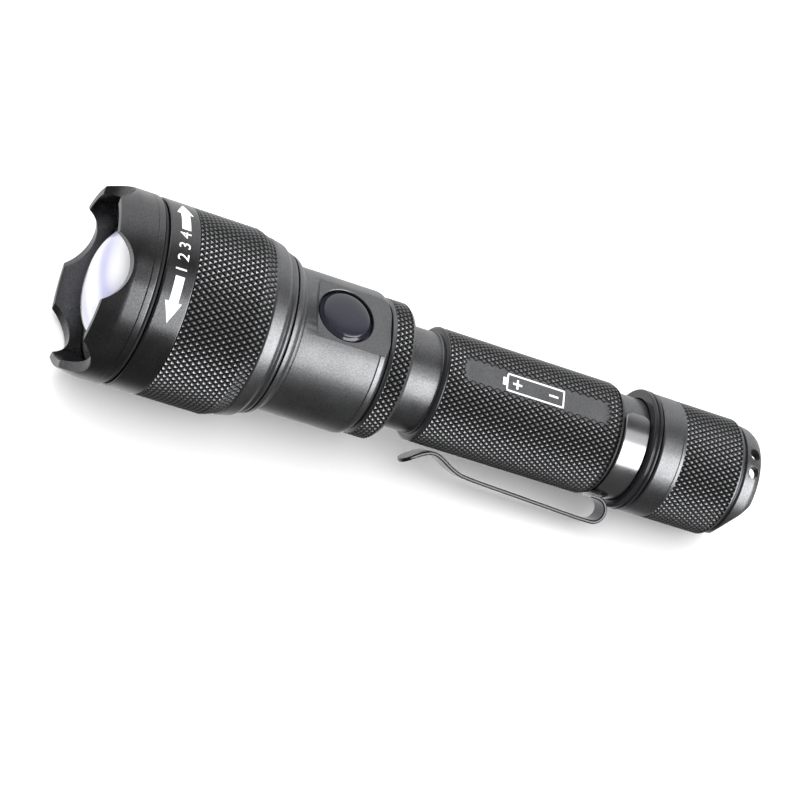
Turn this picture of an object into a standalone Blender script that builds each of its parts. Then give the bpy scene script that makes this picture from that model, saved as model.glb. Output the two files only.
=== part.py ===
"""Tactical flashlight with a twist-focus head, a side switch, a pocket clip and a screwed tail cap.

The optical axis is X: the lens looks along -X and the tail cap closes the +X end. +Z is the outward
normal of the side switch. The origin is the centre of the tail cap's end face. Lengths are written in
millimetres and turned into metres when a mesh is made.
"""

import math

import bmesh
import bpy
from mathutils import Matrix, Vector

MM = 0.001
GAP = 0.3  # clearance between neighbouring pieces

# Stations along the axis
BEZEL_FRONT = -152.0
BEZEL_REAR = -142.6
SLEEVE_FRONT = -141.5
SLEEVE_REAR = -111.6
BARREL_FRONT = -133.5
SHOULDER_FRONT = -111.3
HOUSING_REAR = -88.6
LOCK_RING_REAR = -82.8
GRIP_FRONT = -73.6
GRIP_REAR = -30.9
FLANGE_FRONT = -24.2
CAP_FRONT = -21.7
TUBE_REAR = -9.8
SHROUD_REAR = 4.2

# Radii
HEAD_R = 20.4
BAND_R = 20.3
BARREL_R = 16.0
HOUSING_R = 15.7
LOCK_RING_R = 15.1
GRIP_R = 12.7
NECK_R = 11.2
THREAD_R = 10.9
TUBE_BORE_R = 9.5
CAP_R = 13.4
FLANGE_R = 13.6
SHROUD_R = 12.6

# Cell
CELL_R = 9.2
CELL_LENGTH = 65.0
CELL_FRONT = -89.5

# Focus cam
CAM_LEAD = 10.0
CAM_TURN = 270.0
CAM_PINS = 3
CAM_X = -119.5
CAM_PIN_R = 0.9
CAM_GROOVE = 2.4

# Side switch
BUTTON_X = -99.0
FLAT_Z = 13.9
BUTTON_R = 5.95

# Clip: its side is measured from +Z towards -Y
CLIP_SIDE = 127.5
CLIP_THICKNESS = 0.8
CLIP_WIDTH = 5.5
CLIP_BEND_R = 2.75
CLIP_BEND_X = -27.75
CLIP_BEND_HEIGHT = 14.95
CLIP_GAP_DEG = 100.0

LABEL_SIDE = 9.0
EAR_SIDE = 9.5
SCALLOPS = 5
FIRST_SCALLOP = 45.5

RING_STEPS = 36
INNER_STEPS = 24
SMALL_STEPS = 16


# ---------------------------------------------------------------- helpers


def clear_scene():
    for item in list(bpy.data.objects):
        bpy.data.objects.remove(item, do_unlink=True)


def make_material(name, colour, roughness, metallic):
    made = bpy.data.materials.new(name)
    made.use_nodes = True
    shader = made.node_tree.nodes["Principled BSDF"]
    shader.inputs["Base Color"].default_value = (*colour, 1.0)
    shader.inputs["Roughness"].default_value = roughness
    shader.inputs["Metallic"].default_value = metallic
    return made


def around(angle):
    """Unit vector across the axis, angle degrees from +Z towards +Y."""
    turn = math.radians(angle)
    return Vector((0.0, math.sin(turn), math.cos(turn)))


def point(x, radius, angle):
    """A place in metres, from its station, radius and angle round the axis."""
    return (Vector((x, 0.0, 0.0)) + radius * around(angle)) * MM


def finish_mesh(name, bm, material):
    """Closes a bmesh into an object that is shaded smooth, with its sharp edges kept."""
    bmesh.ops.remove_doubles(bm, verts=bm.verts, dist=1e-7)
    bmesh.ops.recalc_face_normals(bm, faces=bm.faces)
    mesh = bpy.data.meshes.new(name)
    bm.to_mesh(mesh)
    bm.free()
    mesh.shade_smooth()
    mesh.set_sharp_from_angle(angle=math.radians(30.0))
    made = bpy.data.objects.new(name, mesh)
    bpy.context.scene.collection.objects.link(made)
    if material:
        mesh.materials.append(material)
    return made


def set_origin(obj, place):
    """Moves the object's origin to a place in metres and leaves its mesh where it is."""
    obj.data.transform(Matrix.Translation(-Vector(place)))
    obj.location = place


def turned(name, profile, material, steps=RING_STEPS, frame=None):
    """Turns a profile of (station, radius) in millimetres about X, or about the X of frame.

    A profile that starts and ends on the axis makes a solid; any other is a closed ring section.
    """
    solid = profile[0][1] == 0.0 and profile[-1][1] == 0.0
    bm = bmesh.new()
    half_step = math.pi / steps
    ray = Vector((0.0, math.sin(half_step), -math.cos(half_step)))
    verts = [bm.verts.new((Vector((x, 0.0, 0.0)) + ray * r) * MM) for x, r in profile]
    pairs = list(zip(verts, verts[1:]))
    if not solid:
        pairs.append((verts[-1], verts[0]))
    edges = [bm.edges.new(pair) for pair in pairs]
    full = 2 * math.pi
    geom = verts + edges
    bmesh.ops.spin(bm, geom=geom, cent=(0, 0, 0), axis=(1, 0, 0), angle=full, steps=steps, use_merge=True)
    if frame:
        bmesh.ops.transform(bm, matrix=frame, verts=bm.verts)
    return finish_mesh(name, bm, material)


def washer(name, front, rear, inner, outer, material, steps=INNER_STEPS, frame=None):
    profile = [(front, inner), (front, outer), (rear, outer), (rear, inner)]
    return turned(name, profile, material, steps, frame)


def o_ring(name, front, rear, inner, outer, material, steps=INNER_STEPS):
    """A ring of six-sided section that fills the given box."""
    middle_x, middle_r = (front + rear) / 2, (inner + outer) / 2
    half_x, half_r = (rear - front) / 2, (outer - inner) / 2
    corners = [(math.cos(math.radians(a)), math.sin(math.radians(a))) for a in range(90, 450, 60)]
    profile = [(middle_x + half_x * u / math.cos(math.pi / 6), middle_r + half_r * v) for u, v in corners]
    return turned(name, profile, material, steps)


def box(name, low, high, material=None, turn=0.0):
    """A box between two corners in millimetres, turned about X by degrees from +Z towards -Y."""
    bm = bmesh.new()
    bmesh.ops.create_cube(bm, size=1.0)
    low, high = Vector(low) * MM, Vector(high) * MM
    size = high - low
    shape = Matrix.Translation((low + high) / 2) @ Matrix.Diagonal((*size, 1.0))
    bmesh.ops.transform(bm, matrix=Matrix.Rotation(math.radians(turn), 4, "X") @ shape, verts=bm.verts)
    return finish_mesh(name, bm, material)


def add_rod(bm, start, end, radius, steps):
    """Adds a closed cylinder between two places in metres."""
    along = end - start
    place = Matrix.Translation((start + end) / 2) @ along.to_track_quat("Z", "Y").to_matrix().to_4x4()
    bmesh.ops.create_cone(
        bm,
        cap_ends=True,
        segments=steps,
        radius1=radius * MM,
        radius2=radius * MM,
        depth=along.length,
        matrix=place,
    )


def rods(name, pairs, radius, material=None, steps=12):
    bm = bmesh.new()
    for start, end in pairs:
        add_rod(bm, start, end, radius, steps)
    return finish_mesh(name, bm, material)


def add_loft(bm, sections):
    """Adds a closed solid through sections, each a list of the same number of places in metres."""
    loops = [[bm.verts.new(place) for place in section] for section in sections]
    for near, far in zip(loops, loops[1:]):
        count = len(near)
        for i in range(count):
            j = (i + 1) % count
            bm.faces.new((near[i], near[j], far[j], far[i]))
    bm.faces.new(reversed(loops[0]))
    bm.faces.new(loops[-1])


def loft(name, sections, material=None):
    bm = bmesh.new()
    add_loft(bm, sections)
    return finish_mesh(name, bm, material)


def cut(target, cutter):
    modifier = target.modifiers.new(cutter.name, "BOOLEAN")
    modifier.operation = "DIFFERENCE"
    modifier.solver = "EXACT"
    modifier.object = cutter
    cutter.hide_render = True
    cutter.display_type = "WIRE"


def join(target, other):
    """Unites another piece's shape with the target; the other stays as a hidden guide."""
    cut(target, other)
    target.modifiers[other.name].operation = "UNION"


def coil(name, start, end, start_r, end_r, wire_r, turns, material, steps=10, sides=5):
    """A helical spring along X, as a wire swept round the axis and closed at both ends."""
    count = int(turns * steps)
    sections = []
    for i in range(count + 1):
        part = i / count
        angle = 360.0 * turns * part
        radius = start_r + (end_r - start_r) * part
        x = start + wire_r + (end - start - 2 * wire_r) * part
        ring = []
        for k in range(sides):
            turn = 2 * math.pi * k / sides
            ring.append(point(x + wire_r * math.cos(turn), radius + wire_r * math.sin(turn), angle))
        sections.append(ring)
    return loft(name, sections, material)


def upright(x):
    """Frame whose X is world +Z, standing on the axis at station x."""
    return Matrix.Translation((x * MM, 0, 0)) @ Matrix.Rotation(-math.pi / 2, 4, "Y")


def empty(name, place):
    made = bpy.data.objects.new(name, None)
    made.location = place
    bpy.context.scene.collection.objects.link(made)
    return made


def hang_on(parent, *children):
    """Parents pieces to an empty and leaves them where they are."""
    bpy.context.view_layer.update()
    for child in children:
        child.parent = parent
        child.matrix_parent_inverse = parent.matrix_world.inverted()


# ---------------------------------------------------------------- head


def make_bezel(metal):
    bore, rim, floor, hole = 17.3, 18.9, -140.2, 13.2
    spigot_r, spigot_rear, chamfer_rear = 18.6, -137.0, -147.7
    bezel = turned(
        "bezel",
        [
            (BEZEL_FRONT, bore),
            (BEZEL_FRONT, rim),
            (chamfer_rear, HEAD_R),
            (BEZEL_REAR, HEAD_R),
            (BEZEL_REAR, spigot_r),
            (spigot_rear, spigot_r),
            (spigot_rear, hole),
            (floor, hole),
            (floor, bore),
        ],
        metal,
    )
    scallop_r, centre, inside, outside = 8.3, BEZEL_FRONT - 3.2, 12.0, 24.0
    pairs = []
    for i in range(SCALLOPS):
        angle = FIRST_SCALLOP + i * 360.0 / SCALLOPS
        pairs.append((point(centre, inside, angle), point(centre, outside, angle)))
    cut(bezel, rods("scallop_cutter", pairs, scallop_r, steps=32))


def make_optics(glass, ring_metal, rubber):
    dome_r, base, apex, flange_r, front, rear = 12.2, -145.0, -151.0, 16.7, -143.6, -141.8
    rounds = 6
    profile = [(rear, 0.0), (rear, flange_r), (front, flange_r), (front, dome_r), (base, dome_r)]
    for i in range(1, rounds):
        part = math.radians(90.0 * i / rounds)
        profile.append((base + (apex - base) * math.sin(part), dome_r * math.cos(part)))
    profile.append((apex, 0.0))
    turned("lens", profile, glass)
    turned(
        "lens_retaining_ring",
        [(-145.4, 12.6), (-145.4, 16.6), (-145.0, 17.0), (-143.9, 17.0), (-143.9, 12.6)],
        ring_metal,
    )
    washer("lens_gasket", -141.5, -140.5, 13.2, 16.7, rubber)
    o_ring("bezel_oring", -142.3, -141.8, 18.9, 19.9, rubber, RING_STEPS)


def make_sleeve(metal, steel):
    bore, spigot_bore = 16.3, 18.9
    seal_front, seal_rear, seal_r = -115.8, -113.9, 17.1
    sleeve = turned(
        "head_sleeve",
        [
            (SLEEVE_FRONT, spigot_bore),
            (SLEEVE_FRONT, 20.0),
            (-141.2, BAND_R),
            (-120.0, BAND_R),
            (-117.3, 19.3),
            (-113.4, 18.6),
            (-112.8, 17.7),
            (SLEEVE_REAR, 17.6),
            (SLEEVE_REAR, bore),
            (seal_rear, bore),
            (seal_rear, seal_r),
            (seal_front, seal_r),
            (seal_front, bore),
            (-136.7, bore),
            (-136.7, spigot_bore),
        ],
        metal,
    )
    angles = [i * 360.0 / CAM_PINS for i in range(CAM_PINS)]
    holes = [(point(CAM_X, 14.0, a), point(CAM_X, 18.4, a)) for a in angles]
    cut(sleeve, rods("pin_hole_cutter", holes, CAM_PIN_R + GAP))
    for i, angle in enumerate(angles):
        pin = [(point(CAM_X, 15.1, angle), point(CAM_X, 18.0, angle))]
        rods(f"cam_pin_{i + 1}", pin, CAM_PIN_R, steel)


# ---------------------------------------------------------------- switch housing


def cam_groove(bm, start):
    """Adds one helical groove, one step longer than the pin's travel at each end."""
    step = 360.0 / RING_STEPS
    sections = []
    for i in range(-1, round(CAM_TURN / step) + 2):
        x = CAM_X - CAM_LEAD * i * step / 360.0
        near, far = x - CAM_GROOVE / 2, x + CAM_GROOVE / 2
        angle = start + i * step
        floor, top = BARREL_R - 1.3, BARREL_R + 1.0
        corners = ((near, floor), (far, floor), (far, top), (near, top))
        sections.append([point(*corner, angle) for corner in corners])
    add_loft(bm, sections)


def make_housing(metal):
    wide_bore, bore, ring_bore = 13.2, 11.2, 12.3
    housing = turned(
        "switch_housing",
        [
            (BARREL_FRONT, wide_bore),
            (BARREL_FRONT, 15.7),
            (BARREL_FRONT + 0.3, BARREL_R),
            (SHOULDER_FRONT, BARREL_R),
            (SHOULDER_FRONT, 17.5),
            (-110.1, 17.1),
            (-109.6, 16.6),
            (-109.3, HOUSING_R),
            (-90.6, HOUSING_R),
            (-89.2, 15.3),
            (HOUSING_REAR, 14.6),
            (HOUSING_REAR, ring_bore),
            (-90.6, ring_bore),
            (-90.6, bore),
            (-118.0, bore),
            (-118.0, wide_bore),
        ],
        metal,
    )
    bm = bmesh.new()
    for i in range(CAM_PINS):
        cam_groove(bm, i * 360.0 / CAM_PINS)
    cut(housing, finish_mesh("cam_groove_cutter", bm, None))
    cut(housing, make_flat_cutter())
    recess_r, recess_floor, guide_r = BUTTON_R + 0.45, 12.0, 1.9
    recess = [(Vector((BUTTON_X, 0, recess_floor)) * MM, Vector((BUTTON_X, 0, 20.0)) * MM)]
    cut(housing, rods("button_recess_cutter", recess, recess_r, steps=INNER_STEPS))
    guide = [(Vector((BUTTON_X, 0, 8.0)) * MM, Vector((BUTTON_X, 0, recess_floor + 1.0)) * MM)]
    cut(housing, rods("plunger_hole_cutter", guide, guide_r))


def make_flat_cutter():
    """The milled flat: its front end is a round step, its rear end runs out of the housing."""
    front, rear, half_width, top = -106.6, -86.0, 9.0, 20.0
    bulge, steps = 2.6, 8
    outline = [(rear, -half_width), (rear, half_width)]
    for i in range(steps + 1):
        part = 1.0 - 2.0 * i / steps
        outline.append((front + bulge * part * part, half_width * part))
    low = [Vector((x, y, FLAT_Z)) * MM for x, y in outline]
    high = [Vector((x, y, top)) * MM for x, y in outline]
    return loft("flat_cutter", [low, high])


def make_button(cap_metal, rubber, plastic):
    crown, steps = 0.65, 4
    skirt, shoulder, ceiling = 12.9, 14.1, 13.9
    profile = [(ceiling, 0.0), (ceiling, 5.0), (skirt, 5.0), (skirt, BUTTON_R), (shoulder, BUTTON_R)]
    for i in range(1, steps):
        part = math.radians(90.0 * i / steps)
        profile.append((shoulder + crown * math.sin(part), 0.4 + (BUTTON_R - 0.4) * math.cos(part)))
    profile.append((shoulder + crown, 0.0))
    cap = turned("button_cap", profile, cap_metal, INNER_STEPS, upright(BUTTON_X))
    axis = Vector((BUTTON_X, 0.0, 0.0)) * MM
    lift = Vector((0.0, 0.0, MM))
    plunger = rods("button_plunger", [(axis + 10.2 * lift, axis + 13.6 * lift)], 1.5, plastic)
    stem = rods("switch_stem", [(axis + 8.6 * lift, axis + 9.9 * lift)], 1.0, rubber)
    pivot = axis + FLAT_Z * lift
    for piece in (cap, plunger, stem):
        set_origin(piece, pivot)
    hang_on(empty("button_slide_axis", pivot), cap, plunger, stem)
    washer("button_seal", 12.3, 12.9, 2.2, 4.6, rubber, SMALL_STEPS, upright(BUTTON_X))


def make_switch(board, plastic, dark_plastic):
    box("switch_board", (-103.5, -4.5, 5.2), (-95.6, 4.5, 6.2), board)
    body = box("tactile_switch", (-101.5, -3.0, 6.5), (-96.5, 3.0, 9.0), dark_plastic)
    axis = Vector((BUTTON_X, 0, 0)) * MM
    well = [(axis + Vector((0, 0, 7.6 * MM)), axis + Vector((0, 0, 10.0 * MM)))]
    cut(body, rods("stem_hole_cutter", well, 1.3))
    profile = [(-108.0, 0.0), (-108.0, 10.8), (-95.6, 10.8), (-95.6, 0.0)]
    carrier = turned("switch_carrier", profile, plastic, INNER_STEPS)
    cut(carrier, box("carrier_top_cutter", (-110.0, -12.0, 4.9), (-94.0, 12.0, 12.0)))
    cut(carrier, rods("carrier_hole_cutter", wire_lines(-110.0, -94.0), 1.1, steps=10))


def wire_lines(start, end):
    """The two straight lines that the lamp wires follow."""
    return [
        (Vector((start, side * 5.0, -2.0)) * MM, Vector((end, side * 5.0, -2.0)) * MM) for side in (-1, 1)
    ]


def make_lamp(metal, board, package, silicone, red, black):
    pill = turned(
        "heat_sink_pill",
        [(-136.6, 0.0), (-136.6, 12.9), (-122.0, 12.9), (-122.0, 10.5), (-131.0, 10.5), (-131.0, 0.0)],
        metal,
        INNER_STEPS,
    )
    cut(pill, rods("pill_hole_cutter", wire_lines(-140.0, -128.0), 1.1, steps=10))
    disc = [(-137.9, 0.0), (-137.9, 10.5), (-136.9, 10.5), (-136.9, 0.0)]
    turned("led_board", disc, board, INNER_STEPS)
    box("led_package", (-139.0, -1.9, -1.9), (-138.2, 1.9, 1.9), package)
    dome = [(-139.3, 0.0), (-139.3, 1.6), (-139.9, 1.4), (-140.4, 0.8), (-140.6, 0.0)]
    turned("led_dome", dome, silicone, SMALL_STEPS)
    positive, negative = wire_lines(-136.6, -95.5)
    rods("wire_positive", [positive], 0.7, red, 8)
    rods("wire_negative", [negative], 0.7, black, 8)


def make_driver(board, brass, rubber):
    disc = [(-95.2, 0.0), (-95.2, THREAD_R), (-93.8, THREAD_R), (-93.8, 0.0)]
    turned("driver_board", disc, board, INNER_STEPS)
    coil("driver_spring", -93.5, -91.3, 2.6, 2.6, 0.3, 2.0, brass)
    o_ring("housing_oring", -90.3, -89.3, 11.2, 12.0, rubber)


# ---------------------------------------------------------------- tube and clip


def make_tube(metal, knurled, black):
    front, rear_neck = -93.5, 11.15
    tube = turned(
        "battery_tube",
        [
            (front, TUBE_BORE_R),
            (front, THREAD_R),
            (HOUSING_REAR, THREAD_R),
            (HOUSING_REAR + GAP, NECK_R),
            (GRIP_FRONT - 1.3, NECK_R),
            (GRIP_FRONT, GRIP_R),
            (GRIP_REAR - 0.8, GRIP_R),
            (GRIP_REAR, 12.1),
            (GRIP_REAR, rear_neck),
            (TUBE_REAR, rear_neck),
            (TUBE_REAR, TUBE_BORE_R),
        ],
        knurled,
    )
    flat_front, flat_rear, half_width, depth = -70.9, -34.0, 6.0, 0.64
    low, high = (flat_front, -half_width, GRIP_R - depth), (flat_rear, half_width, 16.0)
    cut(tube, box("label_flat_cutter", low, high, None, LABEL_SIDE))
    turned(
        "lock_ring",
        [
            (-88.3, 11.5),
            (-88.3, 14.5),
            (-87.7, LOCK_RING_R),
            (-83.5, LOCK_RING_R),
            (LOCK_RING_REAR, 14.3),
            (LOCK_RING_REAR, 11.5),
        ],
        knurled,
    )
    turned(
        "tail_flange_ring",
        [
            (FLANGE_FRONT, 11.45),
            (FLANGE_FRONT, 13.3),
            (-23.9, FLANGE_R),
            (-23.4, FLANGE_R),
            (-23.1, 13.1),
            (-22.8, FLANGE_R),
            (-22.3, FLANGE_R),
            (-22.0, 13.3),
            (-22.0, 11.45),
        ],
        black,
    )


def strip_section(x, height, tangent, width, thickness):
    """Four corners across the clip strip, whose path lies in the plane of the axis and the clip side."""
    out = around(-CLIP_SIDE)
    along = Vector((tangent[0], 0, 0)) + tangent[1] * out
    along.normalize()
    side = Vector((1, 0, 0)).cross(out)
    normal = along.cross(side)
    middle = Vector((x, 0, 0)) + height * out
    corners = []
    for u, v in ((-1, -1), (1, -1), (1, 1), (-1, 1)):
        corners.append((middle + side * (u * width / 2) + normal * (v * thickness / 2)) * MM)
    return corners


def strip_along(path, width, thickness):
    """Sections of a strip along a path of (x, height) or (x, height, width)."""
    sections = []
    for i, here in enumerate(path):
        before, after = path[max(i - 1, 0)], path[min(i + 1, len(path) - 1)]
        tangent = (after[0] - before[0], after[1] - before[1])
        wide = here[2] if len(here) > 2 else width
        sections.append(strip_section(here[0], here[1], tangent, wide, thickness))
    return sections


def bend_point(angle):
    turn = math.radians(angle)
    return (CLIP_BEND_X + CLIP_BEND_R * math.cos(turn), CLIP_BEND_HEIGHT + CLIP_BEND_R * math.sin(turn))


def make_clip(steel):
    front, rear, inner, outer = -30.5, -24.6, 11.45, 12.1
    step = 10.0
    reach = 180.0 - CLIP_GAP_DEG / 2
    sections = []
    for i in range(round(2 * reach / step) + 1):
        angle = -CLIP_SIDE - reach + i * step
        short = 1.2 if i in (0, round(2 * reach / step)) else 0.0
        ends = (front + short, rear - short)
        corners = ((ends[0], inner), (ends[1], inner), (ends[1], outer), (ends[0], outer))
        sections.append([point(*corner, angle) for corner in corners])
    band = loft("clip_band", sections, steel)
    lower = [bend_point(a) for a in (-90, -72, -54, -36, -20, -5)]
    lower.insert(0, (CLIP_BEND_X - 1.5, CLIP_BEND_HEIGHT - CLIP_BEND_R))
    join(band, loft("clip_bend_guide", strip_along(lower, CLIP_WIDTH, CLIP_THICKNESS)))
    upper = [bend_point(a) for a in (5, 20, 36, 54, 72, 90)]
    upper += [
        (-31.0, 17.7),
        (-59.0, 16.6),
        (-61.8, 15.8),
        (-66.0, 14.0),
        (-67.8, 13.6),
        (-70.4, 14.6),
        (-73.0, 16.4, 4.8),
        (-74.0, 17.1, 3.0),
    ]
    arm = loft("clip_arm", strip_along(upper, CLIP_WIDTH, CLIP_THICKNESS), steel)
    pivot_x, pivot_height = bend_point(0)
    pivot = point(pivot_x, pivot_height, -CLIP_SIDE)
    set_origin(arm, pivot)
    flex_axis = empty("clip_flex_axis", pivot)
    clip_axis = empty("clip_turn_axis", (CLIP_BEND_X * MM, 0, 0))
    hang_on(flex_axis, arm)
    hang_on(clip_axis, band, flex_axis)


def make_cell(wrap, steel):
    rear = CELL_FRONT + CELL_LENGTH
    edge, edge_r = 0.5, CELL_R - 0.4
    can = [(CELL_FRONT, 0.0), (CELL_FRONT, edge_r), (CELL_FRONT + edge, CELL_R)]
    can += [(rear - edge, CELL_R), (rear, edge_r), (rear, 0.0)]
    turned("battery_cell", can, wrap, INNER_STEPS)
    nub = [(-91.0, 0.0), (-91.0, 2.9), (-89.8, 3.2), (-89.8, 0.0)]
    turned("battery_positive_cap", nub, steel, SMALL_STEPS)


# ---------------------------------------------------------------- tail


def make_tail(metal, board, brass, rubber):
    bore, seal_bore, bore_end, shroud_bore = 11.45, 12.5, -6.0, 10.0
    cap = turned(
        "tail_cap",
        [
            (bore_end, 0.0),
            (bore_end, bore),
            (-19.9, bore),
            (-19.9, seal_bore),
            (CAP_FRONT, seal_bore),
            (CAP_FRONT, 13.1),
            (CAP_FRONT + 0.3, CAP_R),
            (-1.9, CAP_R),
            (-0.9, 12.8),
            (-0.9, 11.9),
            (-0.2, 11.9),
            (0.0, SHROUD_R),
            (2.6, 12.3),
            (SHROUD_REAR, 11.6),
            (SHROUD_REAR, shroud_bore),
            (0.0, shroud_bore),
            (0.0, 0.0),
        ],
        metal,
    )
    gap_r = 10.2
    centre = 0.5 + gap_r
    across = EAR_SIDE + 90.0
    gap = [(point(centre, -16.0, -across), point(centre, 16.0, -across))]
    cut(cap, rods("ear_gap_cutter", gap, gap_r, steps=40))
    hole_x, hole_r = 2.1, 1.35
    holes = [(point(hole_x, 8.5, -a), point(hole_x, 14.0, -a)) for a in (EAR_SIDE - 8.0, EAR_SIDE + 12.0)]
    cut(cap, rods("lanyard_hole_cutter", holes, hole_r, steps=12))
    turned("tail_board", [(-7.9, 0.0), (-7.9, 11.0), (-6.4, 11.0), (-6.4, 0.0)], board, INNER_STEPS)
    washer("tail_retaining_ring", -9.4, -8.3, 8.8, 11.0, brass)
    o_ring("tail_oring", -21.6, -20.4, 11.45, 12.2, rubber)


def main():
    clear_scene()
    head = make_material("head_anodised", (0.045, 0.046, 0.05), 0.3, 1.0)
    body = make_material("body_anodised", (0.16, 0.16, 0.165), 0.34, 1.0)
    knurled = make_material("knurled_anodised", (0.11, 0.11, 0.115), 0.36, 1.0)
    steel = make_material("polished_steel", (0.7, 0.7, 0.71), 0.12, 1.0)
    bare = make_material("bare_aluminium", (0.75, 0.75, 0.76), 0.35, 1.0)
    brass = make_material("gold_plating", (0.83, 0.62, 0.28), 0.3, 1.0)
    black_ring = make_material("black_ring", (0.012, 0.012, 0.014), 0.35, 0.2)
    rubber = make_material("black_rubber", (0.015, 0.015, 0.016), 0.6, 0.0)
    glass = make_material("lens_glass", (0.86, 0.88, 0.95), 0.04, 0.0)
    button = make_material("button_gloss", (0.02, 0.022, 0.035), 0.15, 0.0)
    dark_plastic = make_material("dark_plastic", (0.03, 0.03, 0.03), 0.5, 0.0)
    pale_plastic = make_material("pale_plastic", (0.75, 0.75, 0.72), 0.5, 0.0)
    board = make_material("circuit_board", (0.03, 0.16, 0.07), 0.45, 0.0)
    white_board = make_material("lamp_board", (0.8, 0.8, 0.78), 0.4, 0.0)
    package = make_material("lamp_package", (0.85, 0.78, 0.2), 0.4, 0.0)
    silicone = make_material("clear_silicone", (0.9, 0.9, 0.85), 0.1, 0.0)
    wrap = make_material("cell_wrap", (0.05, 0.14, 0.4), 0.4, 0.0)
    red = make_material("red_sleeve", (0.5, 0.03, 0.03), 0.5, 0.0)

    make_bezel(head)
    make_optics(glass, black_ring, rubber)
    make_sleeve(head, steel)
    o_ring("focus_oring", -115.5, -114.2, 16.3, 16.8, rubber)
    make_housing(body)
    make_button(button, rubber, dark_plastic)
    make_switch(board, pale_plastic, dark_plastic)
    make_lamp(bare, white_board, package, silicone, red, rubber)
    make_driver(board, brass, rubber)
    make_tube(body, knurled, black_ring)
    make_clip(steel)
    make_cell(wrap, steel)
    make_tail(body, board, brass, rubber)
    coil("tail_spring", -24.2, -8.2, 3.6, 5.0, 0.5, 5.0, brass)


main()
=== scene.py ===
"""Looks of the twist-focus tactical flashlight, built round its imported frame."""

import math

import bmesh
import bpy
import numpy as np
from mathutils import Matrix, Vector


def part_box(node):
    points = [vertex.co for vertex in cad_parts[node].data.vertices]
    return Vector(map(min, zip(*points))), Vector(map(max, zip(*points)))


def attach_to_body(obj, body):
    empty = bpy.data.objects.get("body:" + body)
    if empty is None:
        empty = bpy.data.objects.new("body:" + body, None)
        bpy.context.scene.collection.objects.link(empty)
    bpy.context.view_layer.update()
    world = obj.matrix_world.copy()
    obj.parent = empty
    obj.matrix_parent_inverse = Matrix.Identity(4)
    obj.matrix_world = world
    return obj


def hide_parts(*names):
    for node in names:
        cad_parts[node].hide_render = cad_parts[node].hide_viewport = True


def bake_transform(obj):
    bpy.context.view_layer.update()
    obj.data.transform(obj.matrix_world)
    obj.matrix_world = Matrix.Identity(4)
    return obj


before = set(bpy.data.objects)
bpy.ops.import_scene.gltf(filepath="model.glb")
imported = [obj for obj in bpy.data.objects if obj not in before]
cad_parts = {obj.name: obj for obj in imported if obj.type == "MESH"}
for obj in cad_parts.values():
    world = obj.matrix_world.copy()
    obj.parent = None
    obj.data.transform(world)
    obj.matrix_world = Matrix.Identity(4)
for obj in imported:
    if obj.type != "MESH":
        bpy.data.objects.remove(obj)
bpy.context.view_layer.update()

MM = 0.001
STEPS = 144  # steps of a turned surface


def low(node):
    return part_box(node)[0] / MM


def high(node):
    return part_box(node)[1] / MM


# Ends of the turned pieces along X in millimetres, read from the frame
BEZEL_FRONT, BEZEL_REAR = low("bezel").x, high("bezel").x
SLEEVE_FRONT, SLEEVE_REAR = low("head_sleeve").x, high("head_sleeve").x
HOUSING_FRONT, HOUSING_REAR = low("switch_housing").x, high("switch_housing").x
LOCK_FRONT, LOCK_REAR = low("lock_ring").x, high("lock_ring").x
TUBE_FRONT, TUBE_REAR = low("battery_tube").x, high("battery_tube").x
FLANGE_FRONT, FLANGE_REAR = low("tail_flange_ring").x, high("tail_flange_ring").x
CAP_FRONT, CAP_REAR = low("tail_cap").x, high("tail_cap").x
BUTTON_X = (low("button_cap").x + high("button_cap").x) / 2

# Radii and stations in millimetres
HEAD_R = 20.4
BAND_R = 20.3
BARREL_R = 16.0
HOUSING_R = 15.7
LOCK_R = 15.1
GRIP_R = 12.7
NECK_R = 11.2
CAP_R = 13.4
KNURL_FRONT = -134.7
KNURL_TAPER = -120.0  # where the head's knurl starts to draw in
KNURL_REAR = -117.3
TAPER_DROP = 1.0
GRIP_FRONT, GRIP_REAR = -73.6, -30.9
GRIP_KNURL_REAR = GRIP_REAR - 0.7
FLAT_FRONT, FLAT_Z = -105.4, 13.9
LABEL_DEPTH = 0.64

# Directions round the axis in degrees from +Z towards +Y
CLIP_SIDE = -127.5
LABEL_SIDE = -9.0
EAR_SIDE = -9.5
MARKS_SIDE = -6.0

# Knurls: a diamond's half length along X, the number round the ring, and the depth
HEAD_DIAMONDS = (1.02, 96, 0.42)
LOCK_DIAMONDS = (1.0, 72, 0.42)
GRIP_DIAMONDS = (0.98, 64, 0.4)
TAIL_DIAMONDS = (0.98, 68, 0.4)
FLAT_TIP = 0.16  # share of a diamond's height that is worn flat
KNURL_WALL = 1.3  # thickness of a knurled ring
SEAT_DEPTH = 1.1  # depth of the seat that a knurled ring sits in


# ---------------------------------------------------------------- geometry helpers


def around(angle):
    turn = math.radians(angle)
    return Vector((0.0, math.sin(turn), math.cos(turn)))


def place(x, radius, angle):
    return (Vector((x, 0.0, 0.0)) + radius * around(angle)) * MM


def new_object(name, mesh, material):
    made = bpy.data.objects.new(name, mesh)
    bpy.context.scene.collection.objects.link(made)
    if material:
        mesh.materials.clear()
        mesh.materials.append(material)
    return made


def from_bmesh(name, bm, material=None):
    bmesh.ops.remove_doubles(bm, verts=bm.verts, dist=1e-7)
    bmesh.ops.recalc_face_normals(bm, faces=bm.faces)
    mesh = bpy.data.meshes.new(name)
    bm.to_mesh(mesh)
    bm.free()
    return new_object(name, mesh, material)


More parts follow.
